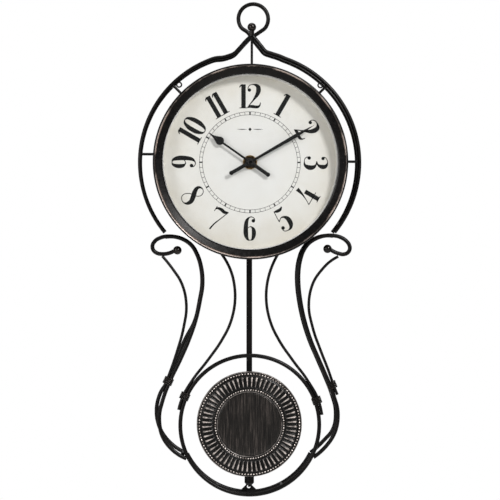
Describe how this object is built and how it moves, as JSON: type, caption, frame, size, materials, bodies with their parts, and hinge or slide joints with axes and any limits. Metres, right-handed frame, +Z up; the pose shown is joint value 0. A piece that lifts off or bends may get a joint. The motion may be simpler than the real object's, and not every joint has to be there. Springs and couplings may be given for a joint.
{
  "type": "pendulum wall clock",
  "caption": "Wall clock with a round dial in a scrolled frame of bent dark rod, a hanging loop above and a swinging pendulum with a fluted round bob inside a lower ring.",
  "frame": {"origin": "the hanging point: the inside of the top of the hanging loop, in the plane of the frame's back rods", "axes": "+Z up, +X to the right of a person reading the dial, +Y towards the wall"},
  "size_m": [0.2342, 0.0481, 0.5211],
  "materials": {
    "bronze": "satin",
    "ball_bronze": "polished",
    "wrap_wire": "polished",
    "glass": "clear",
    "rim": "matte",
    "dial": "matte",
    "black_plastic": "matte",
    "rubber": "matte",
    "brass": "polished",
    "steel": "bright",
    "hands": "satin",
    "copper": "enamelled wire",
    "board": "lacquered",
    "iron": "plain",
    "white_plastic": "moulded",
    "cell": "printed sleeve"
  },
  "bodies": {
    "frame": {"back_hoop": "bronze", "front_hoop_left": "bronze", "front_hoop_right": "bronze", "front_scroll_left": "bronze", "front_scroll_right": "bronze", "outer_wire_left": "bronze", "outer_wire_right": "bronze", "inner_wire_left": "bronze", "inner_wire_right": "bronze", "lower_ring": "bronze", "back_strand_left": "bronze", "back_strand_right": "bronze", "back_ring_arc": "bronze", "ring_tab": "bronze", "spacer_rods": "bronze", "wire_wraps": "wrap_wire", "scroll_balls": "ball_bronze", "finial_ball": "ball_bronze", "top_pin": "bronze", "side_pins": "bronze", "upper_pins": "bronze", "curled_eyes": "bronze", "case_drum": "bronze", "bezel": "bronze", "glass": "glass", "dial_rim": "rim", "dial": "dial", "rear_cover": "bronze", "cover_screws": "steel", "movement_case": "black_plastic", "movement_cover": "black_plastic", "gasket": "rubber", "nut_washer": "brass", "hex_nut": "brass", "contact_plus": "steel", "contact_minus": "steel", "circuit_board": "board", "stepper_coil": "copper", "stator": "iron", "drive_coil": "copper", "pivot_pin": "steel"},
    "pendulum": {"hanger_lever": "white_plastic", "lever_magnet": "iron", "pendulum_rod": "bronze"},
    "bob": {"bob": "bronze"},
    "rating_nut": {"rating_nut": "bronze"},
    "minute": {"minute_arbor": "steel", "minute_hand": "hands", "hand_cap": "hands"},
    "hour": {"hour_wheel": "brass", "hour_hand": "hands"},
    "motion_wheel": {"motion_wheel": "brass"},
    "setting_knob": {"setting_knob": "white_plastic"},
    "rotor": {"rotor": "iron"},
    "fifth_wheel": {"fifth_wheel": "brass"},
    "second_wheel": {"second_wheel": "brass"},
    "third_wheel": {"third_wheel": "brass"},
    "centre_wheel": {"centre_wheel": "brass"},
    "battery": {"battery": "cell"}
  },
  "joints": [
    {"name": "pendulum_swing", "type": "hinge", "parent": "frame", "child": "pendulum", "pos_m": [-0.0048, -0.0134, -0.203], "axis": [0, 1, 0], "range_deg": [-4, 4]},
    {"name": "bob_slide", "type": "slide", "parent": "pendulum", "child": "bob", "axis": [0, 0, 1], "range_m": [-0.003, 0.003]},
    {"name": "nut_turn", "type": "hinge", "parent": "bob", "child": "rating_nut", "pos_m": [-0.0048, -0.0113, -0.502], "axis": [0, 0, 1], "range_deg": [-1085, 1085]},
    {"name": "minute_turn", "type": "hinge", "parent": "frame", "child": "minute", "pos_m": [-0.0048, -0.027, -0.167], "axis": [0, 1, 0], "continuous": true},
    {"name": "hour_turn", "type": "hinge", "parent": "frame", "child": "hour", "pos_m": [-0.0048, -0.027, -0.167], "axis": [0, 1, 0], "continuous": true},
    {"name": "motion_turn", "type": "hinge", "parent": "frame", "child": "motion_wheel", "pos_m": [0.0014, -0.022, -0.17066], "axis": [0, 1, 0], "continuous": true},
    {"name": "knob_turn", "type": "hinge", "parent": "frame", "child": "setting_knob", "pos_m": [0.0086, -0.015, -0.17066], "axis": [0, 1, 0], "continuous": true},
    {"name": "rotor_spin", "type": "hinge", "parent": "frame", "child": "rotor", "pos_m": [0.01565, -0.015, -0.15427], "axis": [0, 1, 0], "continuous": true},
    {"name": "fifth_turn", "type": "hinge", "parent": "frame", "child": "fifth_wheel", "pos_m": [0.0055, -0.015, -0.1506], "axis": [0, 1, 0], "continuous": true},
    {"name": "second_turn", "type": "hinge", "parent": "frame", "child": "second_wheel", "pos_m": [-0.0048, -0.015, -0.1526], "axis": [0, 1, 0], "continuous": true},
    {"name": "third_turn", "type": "hinge", "parent": "frame", "child": "third_wheel", "pos_m": [-0.01244, -0.015, -0.15936], "axis": [0, 1, 0], "continuous": true},
    {"name": "centre_turn", "type": "hinge", "parent": "frame", "child": "centre_wheel", "pos_m": [-0.0048, -0.02, -0.167], "axis": [0, 1, 0], "continuous": true},
    {"name": "battery_out", "type": "slide", "parent": "frame", "child": "battery", "axis": [0, 1, 0], "range_m": [0, 0.03]}
  ],
  "couplings": [
    {"joint": "nut_turn", "follows": "bob_slide", "rad_per_m": 6283.2},
    {"joint": "hour_turn", "follows": "minute_turn", "ratio": 0.083333},
    {"joint": "motion_turn", "follows": "minute_turn", "ratio": -0.33333},
    {"joint": "knob_turn", "follows": "minute_turn", "ratio": 1},
    {"joint": "fifth_turn", "follows": "rotor_spin", "ratio": -0.2},
    {"joint": "second_turn", "follows": "rotor_spin", "ratio": 0.033333},
    {"joint": "third_turn", "follows": "rotor_spin", "ratio": -0.0044444},
    {"joint": "centre_turn", "follows": "rotor_spin", "ratio": 0.00055556}
  ]
}
